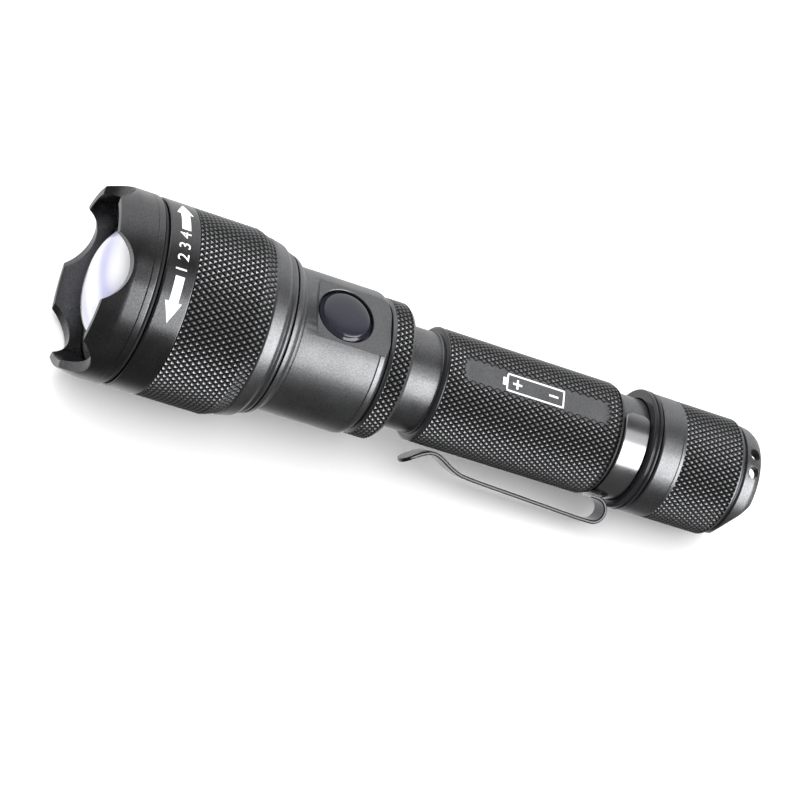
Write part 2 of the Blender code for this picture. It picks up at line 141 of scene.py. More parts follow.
def settle(obj, sharp=38.0):
    """Applies the modifiers, shades smooth below the sharp angle and weights the normals by area."""
    view = bpy.context.evaluated_depsgraph_get()
    mesh = bpy.data.meshes.new_from_object(obj.evaluated_get(view))
    obj.modifiers.clear()
    obj.data = mesh
    mesh.shade_smooth()
    mesh.set_sharp_from_angle(angle=math.radians(sharp))
    normals = obj.modifiers.new("weighted", "WEIGHTED_NORMAL")
    normals.keep_sharp = True
    return obj


def rounded(profile, size, closed):
    """Replaces the corners of a profile by short arcs; a point may give its own size as a third value."""
    result = []
    count = len(profile)
    for i, here in enumerate(profile):
        corner = Vector(here[:2])
        own = here[2] if len(here) > 2 else size
        if own == 0.0 or (not closed and i in (0, count - 1)):
            result.append(tuple(corner))
            continue
        before = Vector(profile[i - 1][:2]) - corner
        after = Vector(profile[(i + 1) % count][:2]) - corner
        reach = min(own, before.length * 0.45, after.length * 0.45)
        start, end = corner + before.normalized() * reach, corner + after.normalized() * reach
        for t in (0.0, 1 / 3, 2 / 3, 1.0):
            result.append(tuple(start * (1 - t) ** 2 + corner * 2 * t * (1 - t) + end * t * t))
    return result


def lathe(name, profile, material, size=0.12, steps=STEPS, turned_to=None):
    """Turns a profile of (station, radius) about X; a profile from axis to axis makes a solid."""
    solid = profile[0][1] == 0.0 and profile[-1][1] == 0.0
    points = rounded(profile, size, not solid)
    bm = bmesh.new()
    rings = []
    for x, r in points:
        if r == 0.0:
            rings.append([bm.verts.new((x * MM, 0, 0))])
            continue
        rings.append([bm.verts.new(place(x, r, 360.0 * k / steps)) for k in range(steps)])
    pairs = list(zip(rings, rings[1:]))
    if not solid:
        pairs.append((rings[-1], rings[0]))
    for near, far in pairs:
        for k in range(steps):
            j = (k + 1) % steps
            if len(near) == 1:
                bm.faces.new((near[0], far[j], far[k]))
            elif len(far) == 1:
                bm.faces.new((near[k], near[j], far[0]))
            else:
                bm.faces.new((near[k], near[j], far[j], far[k]))
    if turned_to:
        bmesh.ops.transform(bm, matrix=turned_to, verts=bm.verts)
    return from_bmesh(name, bm, material)


def rod(name, ends, radius, steps=64):
    """Closed cylinders between pairs of places in metres, used as cutters."""
    bm = bmesh.new()
    for start, end in ends:
        along = end - start
        spot = Matrix.Translation((start + end) / 2) @ along.to_track_quat("Z", "Y").to_matrix().to_4x4()
        bmesh.ops.create_cone(
            bm, cap_ends=True, segments=steps, radius1=radius * MM, radius2=radius * MM,
            depth=along.length, matrix=spot,
        )
    return from_bmesh(name, bm)


def add_loft(bm, sections):
    loops = [[bm.verts.new(spot) for spot in section] for section in sections]
    for near, far in zip(loops, loops[1:]):
        count = len(near)
        for i in range(count):
            bm.faces.new((near[i], near[(i + 1) % count], far[(i + 1) % count], far[i]))
    bm.faces.new(reversed(loops[0]))
    bm.faces.new(loops[-1])


def repaint(obj, material, chosen):
    """Gives a second material to the faces whose centre, in millimetres, is chosen."""
    obj.data.materials.append(material)
    for face in obj.data.polygons:
        if chosen(face.center / MM):
            face.material_index = 1


def subtract(obj, *cutters):
    for cutter in cutters:
        modifier = obj.modifiers.new(cutter.name, "BOOLEAN")
        modifier.operation = "DIFFERENCE"
        modifier.solver = "EXACT"
        modifier.object = cutter
    settle(obj)
    obj.modifiers.clear()
    for cutter in cutters:
        bpy.data.objects.remove(cutter, do_unlink=True)
    return obj


def soften(obj, width):
    """Bevels the sharp edges."""
    bevel = obj.modifiers.new("edges", "BEVEL")
    bevel.width = width * MM
    bevel.segments = 2
    bevel.limit_method = "ANGLE"
    bevel.angle_limit = math.radians(50.0)
    bevel.use_clamp_overlap = True
    return settle(obj)


def torus(name, x, radius, wire, material):
    """An O-ring of round section."""
    section = []
    for angle in range(0, 360, 30):
        turn = math.radians(angle)
        section.append((x + wire * math.cos(turn), radius + wire * math.sin(turn)))
    return settle(lathe(name, section, material, size=0.0, steps=96), 80.0)


# ---------------------------------------------------------------- knurling


def diamond_height(u, v):
    """Height from 0 in the valleys to 1 at the crests, where u and v count half diamonds."""
    cu, cv = np.round(u), np.round(v)
    odd = np.mod(cu + cv, 2) > 0.5
    step_u = np.where(u >= cu, 1.0, -1.0)
    step_v = np.where(v >= cv, 1.0, -1.0)
    along_u = np.abs(u - cu) >= np.abs(v - cv)
    cu = np.where(odd & along_u, cu + step_u, cu)
    cv = np.where(odd & ~along_u, cv + step_v, cv)
    return 1.0 - np.minimum(np.abs(u - cu) + np.abs(v - cv), 1.0)


def knurl_faces(columns, rows, part):
    """Triangles of the diamonds, split along their ridges, then the quads that close the ring inside."""
    faces = []
    for i in range(columns):
        for k in range(rows):
            j = (k + 1) % rows
            a, b, c, d = i * rows + k, (i + 1) * rows + k, (i + 1) * rows + j, i * rows + j
            if (i // part + k // part + 1) % 2:
                faces += [(a, b, d), (b, c, d)]
            else:
                faces += [(a, b, c), (a, c, d)]
    last = columns * rows
    for near, far in ((last, last + rows), (last + rows, last + 2 * rows), (last + 2 * rows, 0)):
        for k in range(rows):
            j = (k + 1) % rows
            faces.append((near + k, far + k, far + j, near + j))
    return faces


def face_outward(mesh):
    bm = bmesh.new()
    bm.from_mesh(mesh)
    bmesh.ops.recalc_face_normals(bm, faces=bm.faces)
    bm.to_mesh(mesh)
    bm.free()


def on_ring(x, radius, angles):
    """Places at a station or stations, in millimetres, for angles in radians."""
    return np.stack([x, radius * np.sin(angles), radius * np.cos(angles)], -1).reshape(-1, 3)


def knurl(name, start, end, diamonds, radius_at, materials, flat=None):
    """A closed ring whose outer face is cut into diamonds.

    radius_at gives the crest radius at a station. flat, if given, returns the largest radius at
    (station, angle in degrees), and the faces that it cuts take the second material.
    """
    half, count, depth = diamonds
    part = 4  # steps across half a diamond
    columns = max(2, round((end - start) / half)) * part
    rows = 2 * count * part
    xs = np.linspace(start, end, columns + 1)
    angles = 2 * math.pi * np.arange(rows) / rows
    grid_x, grid_a = np.meshgrid(xs, angles, indexing="ij")
    u = (grid_x - start) / (end - start) * (columns / part)
    v = grid_a / (2 * math.pi) * 2 * count
    height = np.minimum(diamond_height(u, v) / (1.0 - FLAT_TIP), 1.0)
    crest = np.array([radius_at(x) for x in xs])[:, None]
    radius = crest - depth * (1.0 - height)
    milled = np.zeros(radius.shape, bool)
    if flat:
        limit = flat(grid_x, np.degrees(grid_a))
        milled = radius > limit - 1e-6
        radius = np.minimum(radius, limit)
    rear = on_ring(np.full(rows, xs[-1]), crest[-1, 0] - KNURL_WALL, angles)
    front = on_ring(np.full(rows, xs[0]), crest[0, 0] - KNURL_WALL, angles)
    verts = np.concatenate([on_ring(grid_x, radius, grid_a), rear, front]) * MM
    mesh = bpy.data.meshes.new(name)
    mesh.from_pydata(verts.tolist(), [], knurl_faces(columns, rows, part))
    mesh.update()
    made = new_object(name, mesh, materials[0])
    if flat:
        mesh.materials.append(materials[1])
        smooth = np.append(milled.reshape(-1), np.zeros(2 * rows, bool))
        for face in mesh.polygons:
            face.material_index = int(all(smooth[i] for i in face.vertices))
    face_outward(mesh)
    return made


# ---------------------------------------------------------------- materials


def nodes_of(material):
    return material.node_tree.nodes, material.node_tree.links


def principled(name, colour, roughness, metallic=0.0, **extra):
    made = bpy.data.materials.new(name)
    made.use_nodes = True
    shader = made.node_tree.nodes["Principled BSDF"]
    shader.inputs["Base Color"].default_value = (*colour, 1.0)
    shader.inputs["Roughness"].default_value = roughness
    shader.inputs["Metallic"].default_value = metallic
    for key, value in extra.items():
        shader.inputs[key.replace("_", " ")].default_value = value
    return made, shader


def add_noise(material, scale, detail=4.0, stretch=(1.0, 1.0, 1.0)):
    nodes, links = nodes_of(material)
    where = nodes.new("ShaderNodeTexCoord")
    mapping = nodes.new("ShaderNodeMapping")
    mapping.inputs["Scale"].default_value = stretch
    noise = nodes.new("ShaderNodeTexNoise")
    noise.inputs["Scale"].default_value = scale
    noise.inputs["Detail"].default_value = detail
    links.new(where.outputs["Object"], mapping.inputs["Vector"])
    links.new(mapping.outputs["Vector"], noise.inputs["Vector"])
    return noise


def remap(material, source, low_value, high_value, start=0.3, end=0.7):
    nodes, links = nodes_of(material)
    ranged = nodes.new("ShaderNodeMapRange")
    ranged.inputs["From Min"].default_value = start
    ranged.inputs["From Max"].default_value = end
    ranged.inputs["To Min"].default_value = low_value
    ranged.inputs["To Max"].default_value = high_value
    links.new(source, ranged.inputs["Value"])
    return ranged.outputs["Result"]


def tint(material, shader, source, dark, light):
    """Base colour that runs between two colours with a 0 to 1 source."""
    nodes, links = nodes_of(material)
    mix = nodes.new("ShaderNodeMix")
    mix.data_type = "RGBA"
    mix.inputs["A"].default_value = (*dark, 1.0)
    mix.inputs["B"].default_value = (*light, 1.0)
    links.new(source, mix.inputs["Factor"])
    links.new(mix.outputs["Result"], shader.inputs["Base Color"])


def bump(material, shader, source, distance, strength=1.0):
    nodes, links = nodes_of(material)
    made = nodes.new("ShaderNodeBump")
    made.inputs["Distance"].default_value = distance
    made.inputs["Strength"].default_value = strength
    links.new(source, made.inputs["Height"])
    links.new(made.outputs["Normal"], shader.inputs["Normal"])


def anodised(name, colour, roughness, spread=0.05, grain=0.25, lines=0.000006):
    """Turned and anodised metal: fine lines round the axis, a soft grain and small changes of gloss."""
    material, shader = principled(name, colour, roughness, 1.0)
    turning = add_noise(material, 1.0, 3.0, (9000.0, 60.0, 60.0))
    speckle = add_noise(material, 3800.0, 2.0)
    cloud = add_noise(material, 160.0, 3.0)
    rough = remap(material, cloud.outputs["Fac"], roughness - spread, roughness + spread)
    material.node_tree.links.new(rough, shader.inputs["Roughness"])
    dark = tuple(c * (1.0 - grain) for c in colour)
    light = tuple(c * (1.0 + grain) for c in colour)
    tint(material, shader, remap(material, speckle.outputs["Fac"], 0.0, 1.0), dark, light)
    bump(material, shader, turning.outputs["Fac"], lines)
    return material


def axis_distance(material, tapered):
    """Distance from the axis; on the head's tapered knurl, what the taper takes away is added again."""
    nodes, links = nodes_of(material)
    where = nodes.new("ShaderNodeTexCoord")
    across = nodes.new("ShaderNodeVectorMath")
    across.operation = "MULTIPLY"
    across.inputs[1].default_value = (0.0, 1.0, 1.0)
    length = nodes.new("ShaderNodeVectorMath")
    length.operation = "LENGTH"
    links.new(where.outputs["Object"], across.inputs[0])
    links.new(across.outputs["Vector"], length.inputs[0])
    if not tapered:
        return length.outputs["Value"]
    split = nodes.new("ShaderNodeSeparateXYZ")
    links.new(where.outputs["Object"], split.inputs["Vector"])
    lost = remap(material, split.outputs["X"], 0.0, TAPER_DROP * MM, KNURL_TAPER * MM, KNURL_REAR * MM)
    total = nodes.new("ShaderNodeMath")
    links.new(length.outputs["Value"], total.inputs[0])
    links.new(lost, total.inputs[1])
    return total.outputs["Value"]


def knurled(name, crest, diamonds, tapered=False):
    """Anodised metal with painted light: the grooves, found by their distance from the axis, take a painted
    shade and are duller, and the crests' light base colour is a painted highlight.
    """
    roughness, depth = 0.28, diamonds[2]
    # Painted highlight: the crests' base colour is far lighter than the smooth head and body metal.
    material = anodised(name, (0.36, 0.363, 0.37), roughness, grain=0.1)
    nodes, links = nodes_of(material)
    shader = nodes["Principled BSDF"]
    reach = axis_distance(material, tapered)
    height = remap(material, reach, 0.0, 1.0, (crest - 0.8 * depth) * MM, (crest - 0.05 * depth) * MM)
    metal = shader.inputs["Base Color"].links[0].from_socket
    # Painted shade: towards the groove floors the base colour runs down to near black.
    mix = nodes.new("ShaderNodeMix")
    mix.data_type = "RGBA"
    mix.inputs["A"].default_value = (0.03, 0.03, 0.032, 1.0)
    links.new(height, mix.inputs["Factor"])
    links.new(metal, mix.inputs["B"])
    links.new(mix.outputs["Result"], shader.inputs["Base Color"])
    links.new(remap(material, height, 0.5, roughness, 0.0, 1.0), shader.inputs["Roughness"])
    return material


def moulded(name, colour, roughness, grain=0.00001, **extra):
    """Plastic, rubber or coated stock with a fine grain."""
    material, shader = principled(name, colour, roughness, **extra)
    noise = add_noise(material, 2500.0, 3.0)
    light = tuple(min(1.0, c * 1.15 + 0.002) for c in colour)
    tint(material, shader, noise.outputs["Fac"], tuple(c * 0.85 for c in colour), light)
    rough = remap(material, noise.outputs["Fac"], roughness * 0.9, roughness * 1.12)
    material.node_tree.links.new(rough, shader.inputs["Roughness"])
    bump(material, shader, noise.outputs["Fac"], grain)
    return material


def lens_glass():
    """Clear glass whose base colour holds painted reflections: soft pale grey and lavender clouds stand in
    for the coating's reflections.
    """
    material, shader = principled(
        "lens_glass", (0.95, 0.95, 1.0), 0.06, Transmission_Weight=0.2, IOR=1.5, Coat_Weight=0.5
    )
    coating_reflection_clouds = add_noise(material, 70.0, 1.0, (1.0, 0.6, 1.6))
    clear = remap(material, coating_reflection_clouds.outputs["Fac"], 0.0, 1.0, 0.42, 0.6)
    # Painted reflection: the base colour runs between pale grey and lavender in soft clouds.
    tint(material, shader, clear, (0.78, 0.78, 0.8), (0.44, 0.44, 0.62))
    return material


def make_materials():
    made = {}
    made["head"] = anodised("head_anodised", (0.12, 0.121, 0.125), 0.27)
    made["body"] = anodised("body_anodised", (0.19, 0.192, 0.197), 0.38)
    made["flat"] = anodised("flat_anodised", (0.24, 0.242, 0.248), 0.5)
    made["head_knurl"] = knurled("head_knurl_painted_shade_and_highlight", BAND_R, HEAD_DIAMONDS, tapered=True)
    made["lock_knurl"] = knurled("lock_knurl_painted_shade_and_highlight", LOCK_R, LOCK_DIAMONDS)
    made["grip_knurl"] = knurled("grip_knurl_painted_shade_and_highlight", GRIP_R, GRIP_DIAMONDS)
    made["tail_knurl"] = knurled("tail_knurl_painted_shade_and_highlight", CAP_R, TAIL_DIAMONDS)
    made["bare"] = anodised("bare_aluminium", (0.75, 0.75, 0.76), 0.3, grain=0.05)
    made["steel"] = anodised("polished_spring_steel", (0.4, 0.4, 0.41), 0.2, 0.03, 0.03, 0.000001)
    made["dark_steel"] = anodised("clip_arm_steel", (0.075, 0.075, 0.08), 0.25, 0.03, 0.03, 0.000001)
    made["black_ring"] = moulded("black_gloss_ring", (0.012, 0.012, 0.014), 0.22)
    made["rubber"] = moulded("black_nitrile", (0.012, 0.012, 0.013), 0.5)
    made["button"] = moulded("button_gloss", (0.016, 0.017, 0.026), 0.16, 0.000002, Coat_Weight=0.6)
    made["plastic"] = moulded("black_plastic", (0.03, 0.03, 0.03), 0.45)
    made["pale"] = moulded("pale_plastic", (0.72, 0.72, 0.7), 0.5)
    made["board"] = moulded("circuit_board", (0.03, 0.15, 0.07), 0.4)
    made["lamp_board"] = moulded("lamp_board_white", (0.85, 0.85, 0.83), 0.35)
    made["phosphor"] = moulded("lamp_phosphor", (0.85, 0.72, 0.12), 0.4)
    made["brass"] = anodised("gold_plating", (0.85, 0.62, 0.26), 0.25, 0.04, 0.06)
    made["wrap"] = moulded("cell_wrap", (0.04, 0.12, 0.4), 0.3)
    made["red"] = moulded("red_sleeve", (0.45, 0.02, 0.02), 0.45)
    made["print"] = moulded("white_print", (0.9, 0.9, 0.9), 0.5)
    made["glass"] = lens_glass()
    return made


# ---------------------------------------------------------------- head


def make_bezel(mat):
    bore, rim, floor, hole = 17.3, 19.6, -140.2, 13.2
    line, skirt, skirt_r = -144.1, -142.6, 18.6
    bezel = lathe(
        "bezel_crown",
        [
            (BEZEL_FRONT, rim - 1.6, 0.2),
            (BEZEL_FRONT, rim, 0.25),
            (-147.7, HEAD_R, 0.5),
            (line - 0.12, HEAD_R, 0.05),
            (line, HEAD_R - 0.14, 0.02),
            (line + 0.12, HEAD_R, 0.05),
            (skirt, HEAD_R, 0.3),
            (skirt, skirt_r),
            (BEZEL_REAR, skirt_r),
            (BEZEL_REAR, hole),
            (floor, hole),
            (floor, bore),
        ],
        mat["head"],
        steps=180,
    )
    centre, radius, first, count = BEZEL_FRONT - 4.2, 8.2, 45.5, 5
    angles = [first + 360 / count * i for i in range(count)]
    ends = [(place(centre, 12, angle), place(centre, 24, angle)) for angle in angles]
    subtract(bezel, rod("scallops", ends, radius, 96))
    soften(bezel, 0.22)
    return bezel


def make_lens(mat):
    dome_r, base, apex, flange_r = 12.2, -145.0, low("lens").x, 16.7
    front, rear = -143.6, high("lens").x
    profile = [(rear, 0.0), (rear, flange_r), (front, flange_r), (front, dome_r, 0.0), (base, dome_r, 0.0)]
    rounds = 24
    for i in range(1, rounds):
        part = math.radians(90.0 * i / rounds)
        profile.append((base + (apex - base) * math.sin(part), dome_r * math.cos(part), 0.0))
    profile.append((apex, 0.0))
    return settle(lathe("lens_dome", profile, mat["glass"], size=0.15), 50.0)


def make_lens_ring(mat):
    front, rear, bore, outer = -145.4, -143.9, 12.6, 17.0
    ring = lathe(
        "lens_ring",
        [
            (front, bore, 0.2),
            (front, 14.4, 0.0),
            (front + 0.3, 14.6, 0.0),
            (front + 0.3, 15.8, 0.0),
            (front, 16.0, 0.0),
            (front, outer, 0.3),
            (rear, outer),
            (rear, bore),
        ],
        mat["black_ring"],
    )
    ends = [(place(front, 15.0, angle), place(front, 19.0, angle)) for angle in (90, 270)]
    subtract(ring, rod("key_slots", ends, 0.7, 24))
    return soften(ring, 0.06)


def sleeve_crest(x):
    """Crest radius of the head's knurl: full, then drawn in over its last stretch."""
    if x <= KNURL_TAPER:
        return BAND_R
    return BAND_R - (x - KNURL_TAPER) / (KNURL_REAR - KNURL_TAPER) * TAPER_DROP


def make_sleeve(mat):
    bore, socket = 16.3, 18.9
    ring_front, ring_rear, ring_r = -115.8, -113.9, 17.1  # the groove of the focus O-ring
    sleeve = lathe(
        "sleeve_shell",
        [
            (SLEEVE_FRONT, socket),
            (SLEEVE_FRONT, 20.1, 0.15),
            (SLEEVE_FRONT + 0.3, BAND_R, 0.15),
            (KNURL_FRONT - 0.3, BAND_R, 0.2),
            (KNURL_FRONT, BAND_R - 0.35, 0.0),
            (KNURL_FRONT, BAND_R - SEAT_DEPTH, 0.0),
            (KNURL_TAPER, BAND_R - SEAT_DEPTH, 0.0),
            (KNURL_REAR, BAND_R - TAPER_DROP - SEAT_DEPTH, 0.0),
            (KNURL_REAR, 19.05, 0.0),
            (KNURL_REAR + 0.5, 19.35, 0.2),
            (-113.9, 18.75, 0.5),
            (-113.1, 17.9, 0.4),
            (-112.9, 17.5, 0.1),
            (-112.2, 17.75, 0.2),
            (SLEEVE_REAR, 17.4, 0.2),
            (SLEEVE_REAR, bore),
            (ring_rear, bore),
            (ring_rear, ring_r),
            (ring_front, ring_r),
            (ring_front, bore),
            (-136.7, bore),
            (-136.7, socket),
        ],
        mat["head"],
        steps=180,
    )
    settle(sleeve)
    # Painted highlight: the sleeve's rear lip takes the lighter body colour.
    repaint(sleeve, mat["body"], lambda spot: spot.x > KNURL_REAR - 0.1)
    grip = knurl("sleeve_knurl", KNURL_FRONT, KNURL_REAR, HEAD_DIAMONDS, sleeve_crest, [mat["head_knurl"]])
    return sleeve, grip


# ---------------------------------------------------------------- markings on the head


def wrap_shape(name, shapes, radius, middle_angle, middle_x, thickness, material):
    """Bends flat outlines onto a cylinder; a point is (way round, way to the lens) in millimetres."""
    bm = bmesh.new()
    for outline in shapes:
        face = bm.faces.new([bm.verts.new((u * MM, v * MM, 0)) for u, v in outline])
        face.normal_update()
        if face.normal.z < 0:
            face.normal_flip()
    bmesh.ops.triangulate(bm, faces=bm.faces)
    for _ in range(7):  # until every edge is short enough to follow the curve
        long_edges = [e for e in bm.edges if abs(e.verts[0].co.x - e.verts[1].co.x) > 0.6 * MM]
        if not long_edges:
            break
        bmesh.ops.subdivide_edges(bm, edges=long_edges, cuts=1)
        bmesh.ops.triangulate(bm, faces=bm.faces)
    raised = bmesh.ops.extrude_face_region(bm, geom=list(bm.faces))
    for vert in [g for g in raised["geom"] if isinstance(g, bmesh.types.BMVert)]:
        vert.co.z += thickness * MM
    for vert in bm.verts:
        turn = math.degrees(vert.co.x / (radius * MM))
        height = radius - thickness * 0.5 + vert.co.z / MM
        vert.co = place(middle_x - vert.co.y / MM, height, middle_angle + turn)
    return from_bmesh(name, bm, material)


def text_outlines(text, size):
    """Plain figures, as triangles of (x, y) in millimetres."""
    curve = bpy.data.curves.new("figure", "FONT")
    curve.body = text
    curve.size = size
    curve.align_x = "CENTER"
    curve.align_y = "CENTER"
    curve.resolution_u = 4
    holder = bpy.data.objects.new("figure", curve)
    bpy.context.scene.collection.objects.link(holder)
    view = bpy.context.evaluated_depsgraph_get()
    mesh = bpy.data.meshes.new_from_object(holder.evaluated_get(view))
    mesh.calc_loop_triangles()
    shapes = [[tuple(mesh.vertices[i].co[:2]) for i in tri.vertices] for tri in mesh.loop_triangles]
    bpy.data.objects.remove(holder, do_unlink=True)
    return shapes


def arrow(direction):
    """An arrow that runs round the band in one direction, 1 or -1, in millimetres."""
    start, length, shaft, head, head_length = direction * 5.6, 9.8, 1.95, 3.6, 4.4
    tip = start + direction * length
    neck = tip - direction * head_length
    return [
        (start, -shaft / 2), (neck, -shaft / 2), (neck, -head / 2), (tip, 0.0),
        (neck, head / 2), (neck, shaft / 2), (start, shaft / 2),
    ]


def frame_outline(left, right, half, line):
    """Four bars of a rectangle drawn in a plane."""
    return [
        [(left, -half), (right, -half), (right, -half + line), (left, -half + line)],
        [(left, half - line), (right, half - line), (right, half), (left, half)],
        [(left, -half), (left + line, -half), (left + line, half), (left, half)],
        [(right - line, -half), (right, -half), (right, half), (right - line, half)],
    ]


def bar(x, half_x, half_y):
    return [(x - half_x, -half_y), (x + half_x, -half_y), (x + half_x, half_y), (x - half_x, half_y)]


def make_battery_sign(mat):
    """A printed battery with its plus and minus ends, on the grip's milled flat."""
    middle, half_length, half, line = -53.0, 7.0, 2.1, 0.35
    cap, inset, size, stroke = 0.45, 2.6, 1.1, 0.225
    left, right = middle - half_length, middle + half_length
    outlines = frame_outline(left, right, half, line)
    outlines.append(bar(left - cap, cap, 2 * cap))
    outlines += [bar(left + inset, size, stroke), bar(left + inset, stroke, size)]
    outlines.append(bar(right - inset, size, stroke))
    level, thickness = GRIP_R - LABEL_DEPTH, 0.04
    bm = bmesh.new()
    for outline in outlines:
        levels = (level - thickness, level + thickness)
        add_loft(bm, [[Vector((x, y, z)) * MM for x, y in outline] for z in levels])
    turn = Matrix.Rotation(math.radians(-LABEL_SIDE), 4, "X")
    bmesh.ops.transform(bm, matrix=turn, verts=bm.verts)
    return from_bmesh("battery_sign", bm, mat["print"])


# ---------------------------------------------------------------- housing and button


def cam_grooves():
    """Three helical grooves that the head's cam pins ride in, 10 mm of travel to a turn."""
    first_x, lead, half_width, floor, top = -119.5, 10.0, 1.2, 14.7, 17.0
    bm = bmesh.new()
    for start in (0.0, 120.0, 240.0):
        sections = []
        for i in range(-2, 57):
            angle = 5.0 * i
            x = first_x - lead * angle / 360.0
            near, far = x - half_width, x + half_width
            corners = ((near, floor), (far, floor), (far, top), (near, top))
            sections.append([place(*corner, start + angle) for corner in corners])
        add_loft(bm, sections)
    return from_bmesh("cam_grooves", bm)


def flat_cutter():
    """Cuts the flat round the button, with a sloped front end."""
    rear, top, half_width, slope = -86.0, 20.0, 9.0, 0.75
    bm = bmesh.new()
    lip = FLAT_FRONT - slope * (top - FLAT_Z)
    profile = ((FLAT_FRONT, FLAT_Z), (rear, FLAT_Z), (rear, top), (lip, top))
    add_loft(bm, [[Vector((x, y, z)) * MM for x, z in profile] for y in (-half_width, half_width)])
    return from_bmesh("flat_cutter", bm)


def button_hole():
    """Cutters of the recess that holds the button, its chamfer and its guide hole."""
    button_r = 6.4
    axis = Vector((BUTTON_X, 0, 0)) * MM
    up = Vector((0, 0, MM))
    recess = rod("recess", [(axis + 12.0 * up, axis + 20.0 * up)], button_r, 96)
    guide = rod("guide", [(axis + 8.0 * up, axis + 13.0 * up)], 1.9, 32)
    bm = bmesh.new()
    rim = Matrix.Translation(axis + (FLAT_Z + 0.1) * up)
    bmesh.ops.create_cone(
        bm, cap_ends=True, segments=96, radius1=(button_r - 0.3) * MM, radius2=(button_r + 0.7) * MM,
        depth=1.0 * MM, matrix=rim,
    )
    return recess, from_bmesh("chamfer", bm), guide


def make_housing(mat):
    shoulder, line, seat, bore = -111.3, -90.85, -90.6, 11.2
    housing = lathe(
        "switch_body",
        [
            (HOUSING_FRONT, 13.2),
            (HOUSING_FRONT, BARREL_R, 0.3),
            (shoulder, BARREL_R, 0.0),
            (shoulder, 17.45, 0.2),
            (-110.3, 17.1, 0.3),
            (-109.7, 16.6, 0.2),
            (-109.35, 16.0, 0.1),
            (-109.0, 15.85, 0.1),
            (-108.75, 15.72, 0.03),
            (-108.6, 15.62, 0.02),
            (-108.45, HOUSING_R, 0.03),
            (line - 0.15, HOUSING_R, 0.05),
            (line, HOUSING_R - 0.15, 0.02),
            (line + 0.15, HOUSING_R, 0.05),
            (-89.5, 15.45, 0.5),
            (HOUSING_REAR, 14.5, 0.3),
            (HOUSING_REAR, 12.3),
            (seat, 12.3),
            (seat, bore),
            (-118.0, bore),
            (-118.0, 13.2),
        ],
        mat["body"],
        steps=180,
    )
    recess, chamfer, guide = button_hole()
    subtract(housing, cam_grooves())
    subtract(housing, flat_cutter())
    subtract(housing, recess)
    subtract(housing, chamfer, guide)
    soften(housing, 0.1)
    repaint(housing, mat["flat"], lambda spot: spot.x > FLAT_FRONT - 0.05 and spot.z > FLAT_Z - 0.04)
    return housing


def upright(x):
    """Stands a turned piece's axis up along Z at a station."""
    return Matrix.Translation((x * MM, 0, 0)) @ Matrix.Rotation(-math.pi / 2, 4, "Y")


def make_button(mat):
    bottom, top = low("button_cap").z, high("button_cap").z
    radius, shoulder, ceiling, edge, hollow = 5.35, 14.0, 13.9, 5.95, 5.0
    profile = [(ceiling, 0.0), (ceiling, hollow), (bottom, hollow), (bottom, edge)]
    profile += [(shoulder - 0.5, edge), (shoulder, radius, 0.0)]
    rounds = 14
    for i in range(1, rounds):
        part = math.radians(90.0 * i / rounds)
        bulge = math.sin(part) ** 0.8
        profile.append((shoulder + (top - shoulder) * bulge, radius * math.cos(part) ** 0.75, 0.0))
    profile.append((top, 0.0))
    return settle(lathe("button_dome", profile, mat["button"], 0.05, 96, upright(BUTTON_X)), 60.0)


# ---------------------------------------------------------------- grip


def make_lock_ring(mat):
    start, end, bore = LOCK_FRONT + 0.7, LOCK_REAR - 1.0, 11.5
    body = lathe(
        "lock_ring_body",
        [
            (LOCK_FRONT, bore),
            (LOCK_FRONT, 14.3, 0.2),
            (start, 14.95, 0.15),
            (start, LOCK_R - SEAT_DEPTH, 0.0),
            (end, LOCK_R - SEAT_DEPTH, 0.0),
            (end, 15.0, 0.15),
            (LOCK_REAR, 14.2, 0.4),
            (LOCK_REAR, bore),
        ],
        mat["body"],
    )
    settle(body)
    ring = knurl("lock_ring_knurl", start, end, LOCK_DIAMONDS, lambda x: LOCK_R, [mat["lock_knurl"]])
    return body, ring


def label_flat(x, angle):
    """Largest radius inside the milled flat, which fades out at its ends."""
    front, rear, fade = -70.9, -34.0, 2.2
    offset = np.mod(angle - LABEL_SIDE + 180.0, 360.0) - 180.0
    ends = np.clip(np.minimum(x - front, rear - x) / fade, 0.0, 1.0)
    drop = LABEL_DEPTH * np.sin(ends * math.pi / 2)
    away = np.cos(np.radians(np.clip(offset, -60.0, 60.0)))
    inside = (np.abs(offset) < 45.0) & (x > front) & (x < rear)
    return np.where(inside, (GRIP_R - drop) / away, 99.0)


def grip_crest(x):
    """Crest radius of the grip's knurl: full, then drawn in at its rear end."""
    return GRIP_R - max(0.0, x + 32.6) * 0.35


def make_tube(mat):
    bore, line, rear_neck = 9.5, -82.15, 11.15
    tube = lathe(
        "tube_body",
        [
            (TUBE_FRONT, bore),
            (TUBE_FRONT, 10.9, 0.2),
            (HOUSING_REAR, 10.9),
            (HOUSING_REAR + 0.3, NECK_R),
            (line - 0.15, NECK_R, 0.02),
            (line, NECK_R - 0.15, 0.02),
            (line + 0.15, NECK_R, 0.02),
            (GRIP_FRONT - 1.3, NECK_R, 0.2),
            (GRIP_FRONT - 0.1, 12.45, 0.2),
            (GRIP_FRONT, 12.3, 0.0),
            (GRIP_FRONT, GRIP_R - SEAT_DEPTH, 0.0),
            (GRIP_KNURL_REAR, GRIP_R - SEAT_DEPTH, 0.0),
            (GRIP_KNURL_REAR, 12.3, 0.0),
            (GRIP_REAR, 11.9, 0.3),
            (GRIP_REAR, rear_neck, 0.1),
            (TUBE_REAR, rear_neck, 0.2),
            (TUBE_REAR, bore),
        ],
        mat["body"],
    )
    settle(tube)
    finishes = [mat["grip_knurl"], mat["flat"]]
    grip = knurl("grip_knurl", GRIP_FRONT, GRIP_KNURL_REAR, GRIP_DIAMONDS, grip_crest, finishes, label_flat)
    return tube, grip


